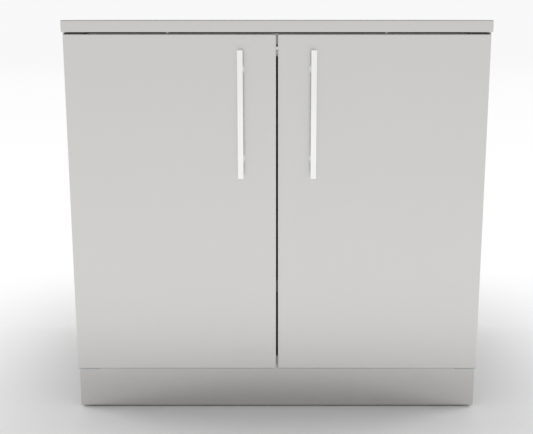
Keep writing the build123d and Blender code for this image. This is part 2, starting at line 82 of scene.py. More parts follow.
class Side(Enum):
    """The left or the right half of the cabinet."""

    LEFT = "left"
    RIGHT = "right"

    def node(self, part: str) -> str:
        """The name of this side's CAD node for a part."""
        return f"{self.value}_{part}"


class Grain(Enum):
    """The way that polishing lines run: how often the pattern changes per metre on X, Y and Z."""

    ACROSS = (14.0, 1500.0, 1500.0)
    UPRIGHT = (1500.0, 1500.0, 14.0)


class Course(Enum):
    """The way that a value runs from its start to its end."""

    STEADY = "LINEAR"
    SOFT = "SMOOTHSTEP"


class Signal:
    """A number from a node, on which sums are written as Python expressions."""

    def __init__(self, sheet: "NodeSheet", socket: bpy.types.NodeSocket) -> None:
        """Wraps one output socket of a sheet."""
        self.sheet = sheet
        self.socket = socket

    def _sum(self, operation: str, first: "Signal | float", second: "Signal | float") -> "Signal":
        """Adds the Math node of one operation and gives its result."""
        node = self.sheet.add("ShaderNodeMath", {"operation": operation}, {0: first, 1: second})
        return Signal(self.sheet, node.outputs[0])

    def __add__(self, other: "Signal | float") -> "Signal":
        """self + other"""
        return self._sum("ADD", self, other)

    __radd__ = __add__

    def __sub__(self, other: "Signal | float") -> "Signal":
        """self - other"""
        return self._sum("SUBTRACT", self, other)

    def __rsub__(self, other: "Signal | float") -> "Signal":
        """other - self"""
        return self._sum("SUBTRACT", other, self)

    def __mul__(self, other: "Signal | float") -> "Signal":
        """self * other"""
        return self._sum("MULTIPLY", self, other)

    __rmul__ = __mul__

    def at_most(self, other: "Signal | float") -> "Signal":
        """The lesser of the two."""
        return self._sum("MINIMUM", self, other)

    def above(self, other: "Signal | float") -> "Signal":
        """One where this is the greater, and zero elsewhere."""
        return self._sum("GREATER_THAN", self, other)


class NodeSheet:
    """The node tree of a material or of the world."""

    def __init__(self, tree: bpy.types.NodeTree) -> None:
        """Clears the tree, to be filled from nothing."""
        self.tree = tree
        tree.nodes.clear()

    def add(self, kind: str, settings: dict | None = None, inputs: dict | None = None) -> bpy.types.Node:
        """Adds one node.

        Args:
            kind: the node's type.
            settings: its own properties, set first.
            inputs: the values or links of its sockets, by name or number.

        Returns:
            The node.
        """
        node = self.tree.nodes.new(kind)
        for key, value in (settings or {}).items():
            setattr(node, key, value)
        for key, value in (inputs or {}).items():
            self._feed(node.inputs[key], value)
        return node

    def _feed(self, socket: bpy.types.NodeSocket, value: object) -> None:
        """Links a socket, or sets its value.

        Args:
            socket: the input to feed.
            value: a signal or an output to link, a colour, or what the socket holds by itself.
        """
        if isinstance(value, Signal):
            value = value.socket
        if isinstance(value, bpy.types.NodeSocket):
            self.tree.links.new(value, socket)
        elif socket.type == "RGBA":
            socket.default_value = (*value, 1.0)
        else:
            socket.default_value = value

    def place(self, scale: Sequence[float] = (1.0, 1.0, 1.0)) -> bpy.types.NodeSocket:
        """The object's own coordinates, in metres, times a scale on each axis."""
        coordinates = self.add("ShaderNodeTexCoord").outputs["Object"]
        return self.add("ShaderNodeMapping", None, {"Vector": coordinates, "Scale": scale}).outputs[0]

    def noise(self, where: bpy.types.NodeSocket, scale: float, detail: float = 2.0) -> Signal:
        """Smooth noise around one half."""
        node = self.add("ShaderNodeTexNoise", None, {"Vector": where, "Scale": scale, "Detail": detail})
        return Signal(self, node.outputs[0])

    def cells(self, where: bpy.types.NodeSocket, scale: float) -> bpy.types.NodeSocket:
        """A random colour for each cell of a pattern of grains."""
        return self.add("ShaderNodeTexVoronoi", None, {"Vector": where, "Scale": scale}).outputs["Color"]

    def height(self) -> Signal:
        """How high a point stands in the object's own coordinates, in metres."""
        return Signal(self, self.add("ShaderNodeSeparateXYZ", None, {0: self.place()}).outputs["Z"])

    def ray(self, question: str) -> Signal:
        """What the light path answers for the ray that arrives."""
        return Signal(self, self.add("ShaderNodeLightPath").outputs[question])

    def between(self, value: Signal, start: float, end: float, course: Course = Course.SOFT) -> Signal:
        """How far a value is on its way from a start to an end.

        Args:
            value: the value.
            start: where the result leaves zero.
            end: where it reaches one.
            course: how it runs on the way.

        Returns:
            The way, between zero and one.
        """
        node = self.add("ShaderNodeMapRange", {"interpolation_type": course.value}, {
            "Value": value, "From Min": start, "From Max": end})
        return Signal(self, node.outputs[0])

    def mixed(self, share: Signal, *shaders: bpy.types.Node) -> bpy.types.Node:
        """The first shader, changing by a share into the second or, without one, into nothing."""
        inputs = {number: shader.outputs[0] for number, shader in enumerate(shaders, 1)}
        return self.add("ShaderNodeMixShader", None, {0: share, **inputs})

    def blend(self, share: Signal, low: Colour | bpy.types.NodeSocket, high: Colour) -> bpy.types.NodeSocket:
        """A colour between two, by a share.

        Args:
            share: zero for the first colour and one for the second.
            low: the first colour.
            high: the second colour.

        Returns:
            The output with the colour.
        """
        factor, first, second, result = 0, 6, 7, 2
        node = self.add("ShaderNodeMix", {"data_type": "RGBA"}, {factor: share, first: low, second: high})
        return node.outputs[result]

    def bump(self, height: Signal, depth: float) -> bpy.types.NodeSocket:
        """A surface pushed out by up to a depth, in metres."""
        return self.add("ShaderNodeBump", None, {"Strength": 1.0, "Distance": depth, "Height": height}).outputs[0]

    def surface(self, inputs: dict) -> None:
        """Ends a material with the main shader."""
        shader = self.add("ShaderNodeBsdfPrincipled", None, inputs)
        self.add("ShaderNodeOutputMaterial", None, {"Surface": shader.outputs[0]})


def tinted(colour: Colour, share: float) -> Colour:
    """A colour made lighter or darker by a share."""
    red, green, blue = (part * share for part in colour)
    return red, green, blue


@dataclass(frozen=True)
class Finish:
    """What a surface is made of. Each kind of finish has its own pattern."""

    name: str
    colour: Colour
    roughness: float

    def material(self) -> bpy.types.Material:
        """Makes the material of this finish at its first use.

        Returns:
            The material.
        """
        known = bpy.data.materials.get(self.name)
        if known:
            return known
        material = bpy.data.materials.new(self.name)
        material.use_nodes = True
        self.fill(NodeSheet(material.node_tree))
        return material

    def fill(self, sheet: NodeSheet) -> None:
        """Fills the material's node tree."""
        raise NotImplementedError


@dataclass(frozen=True)
class BrushedSteel(Finish):
    """Stainless sheet or bar with fine polishing lines, slight clouds and a slightly uneven face."""

    grain: Grain = Grain.UPRIGHT
    line_detail: float = 3.0
    tone_change: float = 0.012
    roughness_change: float = 0.03
    line_depth: float = 0.0015 * MM
    wave_depth: float = 0.25 * MM
    cloud_scale: float = 3.1
    wave_scale: float = 4.3

    def fill(self, sheet: NodeSheet) -> None:
        """Lines from noise drawn out along the grain, over clouds and a faint wave.

        Args:
            sheet: the material's node tree.
        """
        lines = sheet.noise(sheet.place(self.grain.value), 1.0, self.line_detail) - 0.5
        clouds = sheet.noise(sheet.place(), self.cloud_scale) - 0.5
        waves = sheet.noise(sheet.place(), self.wave_scale, 0.0)
        share = (lines + clouds) + 0.5
        dark, light = tinted(self.colour, 1 - self.tone_change), tinted(self.colour, 1 + self.tone_change)
        face = sheet.bump(waves, self.wave_depth)
        fine = sheet.add("ShaderNodeBump", None, {
            "Strength": 1.0, "Distance": self.line_depth, "Height": lines, "Normal": face})
        sheet.surface({
            "Base Color": sheet.blend(share, dark, light),
            "Metallic": 1.0,
            "Roughness": self.roughness + (lines + clouds) * self.roughness_change,
            "Normal": fine.outputs[0]})


@dataclass(frozen=True)
class ZincPlate(Finish):
    """Zinc-plated hardware: a cool grey with a fine spangle and thin darker clouds."""

    spangle_scale: float = 900.0
    spangle_share: float = 0.35
    cloud_scale: float = 60.0
    darkest: float = 0.86
    lightest: float = 1.1
    roughness_change: float = 0.2
    relief: float = 0.02 * MM
    relief_share: float = 0.2

    def fill(self, sheet: NodeSheet) -> None:
        """Grains of slightly different grey under soft clouds.

        Args:
            sheet: the material's node tree.
        """
        grains = sheet.add("ShaderNodeSeparateColor", None, {0: sheet.cells(sheet.place(), self.spangle_scale)})
        grain = Signal(sheet, grains.outputs[0]) - 0.5
        clouds = sheet.noise(sheet.place(), self.cloud_scale) - 0.5
        sheet.surface({
            "Base Color": self.tone(sheet, grain * self.spangle_share + clouds + 0.5),
            "Metallic": 1.0,
            "Roughness": self.roughness + clouds * self.roughness_change,
            "Normal": sheet.bump(clouds + grain * self.relief_share, self.relief)})

    def tone(self, sheet: NodeSheet, share: Signal) -> bpy.types.NodeSocket:
        """The colour, a little darker or lighter by a share."""
        return sheet.blend(share, tinted(self.colour, self.darkest), tinted(self.colour, self.lightest))


@dataclass(frozen=True)
class ZincWithPaintedShade(ZincPlate):
    """Zinc-plated hardware coloured black above a height as painted shade, standing for the shade in the dark gap
    above the doors at the upper bracket of each door.
    """

    # Black painted shade over the upper brackets, where the gap above the doors lies in shade; the height splits
    # the upper brackets from the lower ones.
    black: Colour = (0.06, 0.06, 0.065)
    height: float = 0.5

    def tone(self, sheet: NodeSheet, share: Signal) -> bpy.types.NodeSocket:
        """The plain zinc colour below the height, and black painted shade above it."""
        return sheet.blend(sheet.height().above(self.height), super().tone(sheet, share), self.black)


@dataclass(frozen=True)
class Moulded(Finish):
    """Moulded plastic or rubber with a fine eroded texture."""

    texture_scale: float = 1400.0
    texture_detail: float = 3.0
    texture_depth: float = 0.03 * MM
    cloud_scale: float = 45.0
    darkest: float = 0.93
    lightest: float = 1.05
    roughness_change: float = 0.15
    clearness: float = 0.0

    def fill(self, sheet: NodeSheet) -> None:
        """A fine texture with a little change of tone.

        Args:
            sheet: the material's node tree.
        """
        texture = sheet.noise(sheet.place(), self.texture_scale, self.texture_detail) - 0.5
        clouds = sheet.noise(sheet.place(), self.cloud_scale) - 0.5
        dark, light = tinted(self.colour, self.darkest), tinted(self.colour, self.lightest)
        sheet.surface({
            "Base Color": sheet.blend(clouds + 0.5, dark, light),
            "Roughness": self.roughness + texture * self.roughness_change,
            "Transmission Weight": self.clearness,
            "Normal": sheet.bump(texture, self.texture_depth)})


@dataclass(frozen=True)
class ChipBoard(Finish):
    """Pressed wood: flakes of several browns."""

    flake_scale: float = 420.0
    flake_form: tuple[float, float, float] = (1.0, 0.6, 2.6)
    dust_scale: float = 1600.0
    dust_share: float = 0.3
    darkest: float = 0.7
    lightest: float = 1.2
    roughness_change: float = 0.1
    relief: float = 0.05 * MM

    def fill(self, sheet: NodeSheet) -> None:
        """Flakes a few millimetres long, flattened in the board's own plane.

        Args:
            sheet: the material's node tree.
        """
        flakes = sheet.cells(sheet.place(self.flake_form), self.flake_scale)
        split = sheet.add("ShaderNodeSeparateColor", None, {0: flakes})
        flake = Signal(sheet, split.outputs[0])
        dust = sheet.noise(sheet.place(), self.dust_scale) - 0.5
        dark, light = tinted(self.colour, self.darkest), tinted(self.colour, self.lightest)
        sheet.surface({
            "Base Color": sheet.blend(flake + dust * self.dust_share, dark, light),
            "Roughness": self.roughness + dust * self.roughness_change,
            "Normal": sheet.bump(flake + dust, self.relief)})


@dataclass(frozen=True)
class Sintered(Finish):
    """Pressed ferrite, dull and dark, with small pits."""

    pit_scale: float = 700.0
    pit_detail: float = 4.0
    pit_depth: float = 0.08 * MM
    darkest: float = 0.7
    lightest: float = 1.4

    def fill(self, sheet: NodeSheet) -> None:
        """Pits in a nearly black face.

        Args:
            sheet: the material's node tree.
        """
        pits = sheet.noise(sheet.place(), self.pit_scale, self.pit_detail)
        sheet.surface({
            "Base Color": sheet.blend(pits, tinted(self.colour, self.darkest), tinted(self.colour, self.lightest)),
            "Roughness": self.roughness,
            "Normal": sheet.bump(pits, self.pit_depth)})


SATIN_UPRIGHT = BrushedSteel("satin_steel_upright", (0.653, 0.646, 0.631), 0.26, Grain.UPRIGHT)
SATIN_ACROSS = BrushedSteel("satin_steel_across", (0.632, 0.623, 0.609), 0.2, Grain.ACROSS)
MILL_STEEL = BrushedSteel("mill_steel", (0.58, 0.58, 0.57), 0.36, Grain.ACROSS, tone_change=0.08)
POLISHED = BrushedSteel("polished_steel", (0.9, 0.9, 0.89), 0.13, Grain.UPRIGHT, tone_change=0.02,
                        roughness_change=0.05, line_depth=0.001 * MM, wave_depth=0.01 * MM)
TURNED_STEEL = BrushedSteel("turned_steel", (0.68, 0.68, 0.67), 0.15, Grain.UPRIGHT, tone_change=0.02,
                            line_depth=0.001 * MM, wave_depth=0.01 * MM)
POLE_STEEL = BrushedSteel("pole_steel", (0.5, 0.5, 0.51), 0.34, Grain.ACROSS, tone_change=0.1,
                          wave_depth=0.01 * MM)
NICKEL = BrushedSteel("bright_nickel_plate", (0.84, 0.83, 0.8), 0.1, tone_change=0.02,
                      line_depth=0.001 * MM, wave_depth=0.01 * MM)
ZINC = ZincPlate("zinc_plate", (0.6, 0.62, 0.65), 0.34)
# Plain zinc on the lower brackets, and black painted shade on the upper ones, for the dark gap above the doors.
BRACKET_ZINC_PAINTED_SHADE = ZincWithPaintedShade("bracket_zinc_painted_shade", (0.6, 0.62, 0.65), 0.38)
WHITE_PLASTIC = Moulded("white_moulding", (0.86, 0.86, 0.84), 0.42)
BLACK_PLASTIC = Moulded("black_moulding", (0.035, 0.035, 0.04), 0.5, texture_depth=0.06 * MM)
CLEAR_RUBBER = Moulded("clear_rubber_dome", (0.82, 0.82, 0.79), 0.28, texture_depth=0.01 * MM, clearness=0.6)
BOARD = ChipBoard("core_board_flakes", (0.56, 0.42, 0.27), 0.75)
HONEYCOMB = ChipBoard("honeycomb_paper", (0.6, 0.48, 0.33), 0.85, flake_scale=160.0)
FERRITE = Sintered("ferrite", (0.09, 0.09, 0.1), 0.6)


def coat(finish: Finish, *nodes: str) -> None:
    """Gives CAD nodes whose shape is right a finish.

    Args:
        finish: the finish.
        nodes: the nodes' names.
    """
    for name in nodes:
        for material_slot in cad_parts[name].material_slots:
            material_slot.material = finish.material()


def box_of(node: str) -> tuple[Vector, Vector]:
    """The lowest and the highest corner of a CAD node."""
    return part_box(node)


def solids_of(node: str) -> list[tuple[Vector, Vector]]:
    """The boxes of the separate solids in a CAD node.

    Args:
        node: the node's name.

    Returns:
        The lowest and highest corner of each solid, in the order of their lowest corners.
    """
    copy = bmesh.new()
    copy.from_mesh(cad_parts[node].data)
    bmesh.ops.remove_doubles(copy, verts=copy.verts, dist=MERGE_DISTANCE)
    left = set(copy.verts)
    boxes = []
    while left:
        reach = [left.pop()]
        points = []
        while reach:
            vertex = reach.pop()
            points.append(vertex.co.copy())
            near = {edge.other_vert(vertex) for edge in vertex.link_edges} & left
            left -= near
            reach.extend(near)
        boxes.append((Vector(min(p[i] for p in points) for i in range(3)),
                      Vector(max(p[i] for p in points) for i in range(3))))
    copy.free()
    return sorted(boxes, key=lambda box: tuple(box[0]))


def standing(foot: Vector, axis: Vector) -> Matrix:
    """A turn and move that stands a shape made along Z on a point, along an axis."""
    return Matrix.Translation(foot) @ axis.to_track_quat("Z", "Y").to_matrix().to_4x4()


def end_of(low: Vector, high: Vector, axis: Vector) -> Vector:
    """Finds the middle of a box's face.

    Args:
        low: the box's lowest corner.
        high: its highest corner.
        axis: the way to the face, along X, Y or Z.

    Returns:
        The middle of the face on that side.
    """
    middle = (low + high) / 2
    half = (high - low) / 2
    return middle + Vector(a * h for a, h in zip(axis, half))


def six_sided(angle: float) -> float:
    """How far a hexagon reaches at an angle, as a share of half its width across flats."""
    sixth = math.tau / 6
    return 1 / math.cos(angle % sixth - sixth / 2)


def cross_shaped(angle: float) -> float:
    """Says how far a cross recess reaches.

    Args:
        angle: the direction, in radians.

    Returns:
        The reach in that direction, as a share of the wings' own.
    """
    quarter = math.tau / 4
    off_wing = abs((angle + quarter / 2) % quarter - quarter / 2)
    return 1.0 if off_wing < RECESS_WING else RECESS_CORE


class Shape:
    """The mesh of one piece while it is made, in the cabinet's own frame."""

    def __init__(self) -> None:
        """Starts an empty mesh."""
        self.mesh = bmesh.new()

    def take(self, part: bmesh.types.BMesh, move: Matrix) -> None:
        """Adds a finished part, moved into place, and frees it.

        Args:
            part: the part's mesh.
            move: the turn and move to its place.
        """
        bmesh.ops.transform(part, matrix=move, verts=part.verts)
        bmesh.ops.recalc_face_normals(part, faces=part.faces)
        holder = bpy.data.meshes.new("holder")
        part.to_mesh(holder)
        part.free()
        self.mesh.from_mesh(holder)
        bpy.data.meshes.remove(holder)

    def block(self, low: Vector, high: Vector, edge: float, segments: int) -> None:
        """Adds a block with rounded edges.

        Args:
            low: its lowest corner.
            high: its highest corner.
            edge: the radius of its edges.
            segments: the flats round an edge.
        """
        part = bmesh.new()
        bmesh.ops.create_cube(part, size=1.0)
        bmesh.ops.scale(part, vec=high - low, verts=part.verts)
        bmesh.ops.bevel(part, geom=part.edges, offset=edge, affect="EDGES", segments=segments, profile=0.5,
                        material=-1)
        self.take(part, Matrix.Translation((low + high) / 2))

    def turned(self, outline: Outline, stand: Matrix, steps: int = 32, closed: bool = False,
               shaped: Sequence[float] = (), reach: Callable[[float], float] = six_sided) -> None:
        """Adds a body of revolution, of which some rings may be drawn to another form.

        Args:
            outline: radius and height of each point.
            stand: where it stands.
            steps: the points round a ring.
            closed: whether the outline's ends are joined, for a ring round a bore.
            shaped: the radii of the rings that are drawn to the other form.
            reach: that form, as a share of the radius at an angle.
        """
        part = bmesh.new()
        points = [part.verts.new((radius, 0, height)) for radius, height in outline]
        pairs = list(zip(points, points[1:])) + ([(points[-1], points[0])] if closed else [])
        edges = [part.edges.new(pair) for pair in pairs]
        bmesh.ops.spin(part, geom=points + edges, cent=(0, 0, 0), axis=UP, dvec=(0, 0, 0), angle=math.tau,
                       steps=steps, use_merge=True, use_duplicate=False)
        bmesh.ops.remove_doubles(part, verts=part.verts, dist=MERGE_DISTANCE)
        for vertex in part.verts:
            radius = vertex.co.xy.length
            if any(abs(radius - ring) < MERGE_DISTANCE for ring in shaped):
                share = reach(math.atan2(vertex.co.y, vertex.co.x))
                vertex.co.xy *= share
        self.take(part, stand)

    def thread(self, radius: float, depth: float, pitch: float, start: float, end: float, stand: Matrix,
               steps: int = 20) -> None:
        """Adds the ridge of a screw thread, wound round a core that reaches a little past its foot.

        Args:
            radius: the crest's radius.
            depth: how far the foot lies below the crest.
            pitch: the way from one turn to the next.
            start: the height of the first turn's foot.
            end: the height that the last turn stays under.
            stand: where the screw stands.
            steps: the points round a turn.
        """
        turns = math.floor((end - start) / pitch) - 1
        if turns < 1:
            return
        root = radius - depth
        part = bmesh.new()
        ridge = [part.verts.new(point) for point in (
            (root, 0, start), (radius, 0, start + pitch / 2), (root, 0, start + pitch))]
        edges = [part.edges.new(pair) for pair in zip(ridge, ridge[1:])]
        wound = bmesh.ops.spin(part, geom=ridge + edges, cent=(0, 0, 0), axis=UP, dvec=(0, 0, pitch / steps),
                               angle=math.tau * turns, steps=steps * turns, use_merge=False,
                               use_duplicate=False)
        part.faces.new(ridge)
        part.faces.new([item for item in wound["geom_last"] if isinstance(item, bmesh.types.BMVert)])
        self.take(part, stand)

    def settle(self, name: str, body: str, finish: Finish, nodes: Iterable[str]) -> None:
        """Makes the finished object, which rides on a body in place of CAD nodes.

        Args:
            name: the piece's name.
            body: the body it rides on.
            finish: its finish.
            nodes: the CAD nodes it stands for.
        """
        for face in self.mesh.faces:
            face.smooth = True
        for edge in self.mesh.edges:
            edge.smooth = edge.calc_face_angle(0.0) < SHARP_ANGLE
        mesh = bpy.data.meshes.new(name)
        self.mesh.to_mesh(mesh)
        self.mesh.free()
        mesh.materials.append(finish.material())
        piece = bpy.data.objects.new(name, mesh)
        bpy.context.scene.collection.objects.link(piece)
        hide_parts(*nodes)
        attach(piece, body)
        LOG.info("%s: %d faces, on %s", name, len(mesh.polygons), body)


@dataclass(frozen=True)
class Screw:
    """A pan head screw with a cross recess and a cut thread.

    The recess's tip, taper and rim are shares of its depth, its width and the head's height. The crown's points are
    shares of the head's radius and height, and the thread's foot is a share of its depth.
    """

    shank: float = 2.0 * MM
    head: float = 4.0 * MM
    head_height: float = 2.2 * MM
    recess: float = 2.3 * MM
    recess_depth: float = 1.3 * MM
    recess_tip: float = 1.1
    recess_taper: float = 0.8
    recess_rim: float = 0.04
    crown: tuple[tuple[float, float], ...] = ((0.66, 0.03), (0.86, 0.16), (0.97, 0.42), (1.0, 0.66), (1.0, 1.0))
    pitch: float = 1.4 * MM
    thread_depth: float = 0.45 * MM
    thread_foot: float = 0.8
    point: float = 2.5 * MM

    def build(self, shape: Shape, stand: Matrix, length: float) -> None:
        """Adds the screw, head up, with the top of its head at the foot of stand.

        Args:
            shape: the mesh it goes into.
            stand: its place and direction.
            length: head and shank together.
        """
        head, height = self.head, self.head_height
        core = self.shank - self.thread_depth * self.thread_foot
        narrow = self.recess * self.recess_taper
        outline = [(0, -self.recess_depth * self.recess_tip), (narrow, -self.recess_depth),
                   (self.recess, -height * self.recess_rim)]
        outline += [(head * out, -height * down) for out, down in self.crown]
        outline += [(core, -height), (core, self.point - length), (0, -length)]
        shape.turned(outline, stand, shaped=(self.recess, narrow), reach=cross_shaped)
        shape.thread(self.shank, self.thread_depth, self.pitch, self.point - length, -height, stand)


def screw_set(name: str, node: str, body: str, axis_of: Callable[[Vector], Vector], form: Screw) -> None:
    """Cuts every screw of a CAD node.

    Args:
        name: the piece's name.
        node: the CAD node, with one solid for each screw.
        body: the body it rides on.
        axis_of: gives the way a screw's head faces, from the middle of its box.
        form: the screw's form.
    """
    shape = Shape()
    for low, high in solids_of(node):
        axis = axis_of((low + high) / 2)
        form.build(shape, standing(end_of(low, high, axis), axis), abs((high - low).dot(axis)))
    shape.settle(name, body, ZINC, [node])


@dataclass
class Worktop:
    """The folded top, its board and the screws that hold it from below."""

    screw: Screw = Screw()

    def build(self) -> None:
        """Dresses the skin, the spacers and the board, and cuts the screws."""
        coat(SATIN_ACROSS, "worktop_skin")
        coat(BLACK_PLASTIC, "worktop_spacers")
        coat(BOARD, "worktop_core")
        screw_set("worktop_screws_cut", "worktop_screws", "cabinet", lambda middle: -UP, self.screw)


@dataclass
class Carcass:
    """Sides, back, floor and rails."""

    screw: Screw = Screw()

    def build(self) -> None:
        """Dresses the folded panels and cuts the rails' screws."""
        for side in Side:
            coat(SATIN_UPRIGHT, side.node("side_shell"))
            coat(MILL_STEEL, side.node("side_liner"))
        coat(MILL_STEEL, "back_panel", "bottom_panel", "top_front_rail", "top_rear_rail")
        screw_set("rail_screws_cut", "rail_screws", "cabinet",
                  lambda middle: -TOWARDS_RIGHT if middle.x > 0 else TOWARDS_RIGHT, self.screw)


@dataclass
class PivotHinges:
    """The pivot brackets, with their pins and screws."""

    screw: Screw = Screw()
    pin_chamfer: float = 0.5 * MM

    def build(self) -> None:
        """Dresses the brackets, and makes the pins and screws."""
        bottom = min(low.z for low, high in solids_of("pivot_screws"))
        top = max(high.z for low, high in solids_of("pivot_screws"))
        middle_height = (bottom + top) / 2
        screw_set("pivot_screws_cut", "pivot_screws", "cabinet",
                  lambda middle: -UP if middle.z > middle_height else UP, self.screw)
        for side in Side:
            # The upper brackets come out black: painted shade for the gap above the doors.
            coat(BRACKET_ZINC_PAINTED_SHADE, side.node("pivot_brackets"))
            self.pins(side, middle_height)

    def pins(self, side: Side, middle_height: float) -> None:
        """Makes the two pins of one side, each with a chamfer at the end in the door.

        Args:
            side: the side.
            middle_height: a height between the upper and the lower pin.
        """
        shape = Shape()
        for low, high in solids_of(side.node("pivot_pins")):
            axis = UP if (low.z + high.z) / 2 < middle_height else -UP
            radius, length = (high.x - low.x) / 2, high.z - low.z
            chamfer = self.pin_chamfer
            outline = [(0, 0), (radius - chamfer / 2, 0), (radius, chamfer / 2), (radius, length - chamfer),
                       (radius - chamfer, length), (0, length)]
            shape.turned(outline, standing(end_of(low, high, -axis), axis))
        shape.settle(f"ground_pins_{side.value}", "cabinet", ZINC, [side.node("pivot_pins")])


@dataclass
class MagneticCatch:
    """The double magnetic catch under the front rail."""

    screw: Screw = Screw()

    def build(self) -> None:
        """Dresses the body, the pole plates and the magnets, and cuts the screws."""
        coat(NICKEL, "catch_housing")
        coat(POLE_STEEL, "catch_pole_plates")
        coat(FERRITE, "catch_magnets")
        screw_set("catch_screws_cut", "catch_screws", "cabinet", lambda middle: -UP, self.screw)


@dataclass
class Door:
    """One door with its bushes, bumpers and strike plate."""

    side: Side
    bush_bore: float = 2.55 * MM
    bush_edge: float = 0.2 * MM
    bush_flange: float = 0.5 * MM
    bush_body: float = 3.5 * MM
    dome_rim: float = 0.35 * MM
    dome_steps: int = 8
    strike_screw: Screw = Screw(shank=1.5 * MM, head=2.6 * MM, head_height=0.7 * MM, recess=1.5 * MM,
                                recess_depth=0.5 * MM, pitch=1.1 * MM, thread_depth=0.35 * MM)

    def build(self) -> None:
        """Dresses the pans and the filling, and makes the small pieces."""
        coat(SATIN_UPRIGHT, self.side.node("door_skin"))
        coat(MILL_STEEL, self.side.node("door_liner"))
        coat(HONEYCOMB, self.side.node("door_core"))
        coat(ZINC, self.side.node("strike_plate"))
        self.bushes()
        self.bumpers()
        screw_set(f"strike_screws_cut_{self.side.value}", self.side.node("strike_screws"),
                  self.side.node("door"), lambda middle: TOWARDS_BACK, self.strike_screw)

    def bushes(self) -> None:
        """Makes a flanged bush for each end of the door's pivot edge, flange outwards."""
        node = self.side.node("door_bushes")
        low, high = box_of(node)
        middle_height = (low.z + high.z) / 2
        shape = Shape()
        for low, high in solids_of(node):
            axis = UP if (low.z + high.z) / 2 < middle_height else -UP
            flange, length = (high.x - low.x) / 2, high.z - low.z
            edge, bore, body = self.bush_edge, self.bush_bore, self.bush_body
            outline = [(bore, edge), (bore + edge, 0), (flange - edge, 0), (flange, edge),
                       (flange, self.bush_flange), (body, self.bush_flange), (body, length - edge),
                       (body - edge, length), (bore + edge, length), (bore, length - edge)]
            shape.turned(outline, standing(end_of(low, high, -axis), axis), closed=True)
        shape.settle(f"turned_bushes_{self.side.value}", self.side.node("door"),
                     WHITE_PLASTIC, [node])

    def bumpers(self) -> None:
        """Makes a clear dome for the top and the bottom of the door's inner corner."""
        node = self.side.node("door_bumpers")
        shape = Shape()
        for low, high in solids_of(node):
            radius, height = (high.x - low.x) / 2, high.y - low.y
            crown = height - self.dome_rim
            outline = [(0, 0), (radius, 0)]
            for step in range(self.dome_steps + 1):
                angle = math.tau / 4 * step / self.dome_steps
                outline.append((radius * math.cos(angle), self.dome_rim + crown * math.sin(angle)))
            shape.turned(outline, standing(end_of(low, high, -TOWARDS_BACK), TOWARDS_BACK))
        shape.settle(f"dome_bumpers_{self.side.value}", self.side.node("door"), CLEAR_RUBBER,
                     [node])


@dataclass
class BarHandle:
    """One door's square bar handle on its two posts, each with a thin rose against the door.

    The middles are the middle points of a round weld and edge, as shares of their sizes.
    """

    side: Side
    bar_edge: float = 0.9 * MM
    bar_segments: int = 4
    weld: float = 0.7 * MM
    weld_middle: float = 0.35
    rose_radius: float = 9.0 * MM
    rose_height: float = 1.0 * MM
    rose_edge: float = 0.4 * MM
    rose_middle: float = 0.3
    post_steps: int = 40
    screw: Screw = Screw(pitch=1.0 * MM)

    def build(self) -> None:
        """Makes the bar, the posts and the screws behind the door."""
        body = self.side.node("door")
        bar = Shape()
        bar.block(*box_of(self.side.node("handle_bar")), self.bar_edge, self.bar_segments)
        bar.settle(f"square_bar_{self.side.value}", body, POLISHED,
                   [self.side.node("handle_bar")])
        posts = Shape()
        for low, high in solids_of(self.side.node("handle_posts")):
            radius, length, weld = (high.x - low.x) / 2, high.y - low.y, self.weld
            rose, face, edge = self.rose_radius, length - self.rose_height, self.rose_edge
            weld_in, edge_in = weld * self.weld_middle, edge * self.rose_middle
            outline = [(0, 0), (radius + weld, 0), (radius + weld_in, weld_in), (radius, weld),
                       (radius, face - weld), (radius + weld_in, face - weld_in), (radius + weld, face),
                       (rose - edge, face), (rose - edge_in, face + edge_in), (rose, face + edge),
                       (rose, length), (0, length)]
            posts.turned(outline, standing(end_of(low, high, -TOWARDS_BACK), TOWARDS_BACK), self.post_steps)
        posts.settle(f"welded_posts_{self.side.value}", body, TURNED_STEEL,
                     [self.side.node("handle_posts")])
        screw_set(f"handle_screws_cut_{self.side.value}", self.side.node("handle_screws"), body,
                  lambda middle: TOWARDS_BACK, self.screw)


@dataclass
class Shelf:
    """The shelf, its stiffener and the clips it rests on."""

    def build(self) -> None:
        """Dresses the sheet pieces."""
        coat(MILL_STEEL, "shelf_tray", "shelf_stiffener")
        coat(ZINC, "shelf_clips")


@dataclass
class Plinth:
    """The plinth, with the plates and nuts for the feet."""

    nut_bore: float = 5.05 * MM
    nut_chamfer: float = 0.9 * MM
    nut_steps: int = 48

    def build(self) -> None:
        """Dresses the plinth and the plates, and makes the weld nuts."""
        coat(SATIN_ACROSS, "plinth_front", "plinth_rear", "left_plinth_side", "right_plinth_side")
        coat(ZINC, "foot_brackets")
        shape = Shape()
        for low, high in solids_of("foot_nuts"):
            flat, height = (high.y - low.y) / 2, high.z - low.z
            bore, chamfer = self.nut_bore, self.nut_chamfer
            round_end = flat * HEXAGON_END
            outline = [(bore, chamfer), (bore + chamfer, 0), (round_end, 0), (flat, chamfer),
                       (flat, height - chamfer), (round_end, height), (bore + chamfer, height),
                       (bore, height - chamfer)]
            shape.turned(outline, standing(end_of(low, high, -UP), UP), self.nut_steps, closed=True, shaped=(flat,))
        shape.settle("weld_nuts", "cabinet", ZINC, ["foot_nuts"])


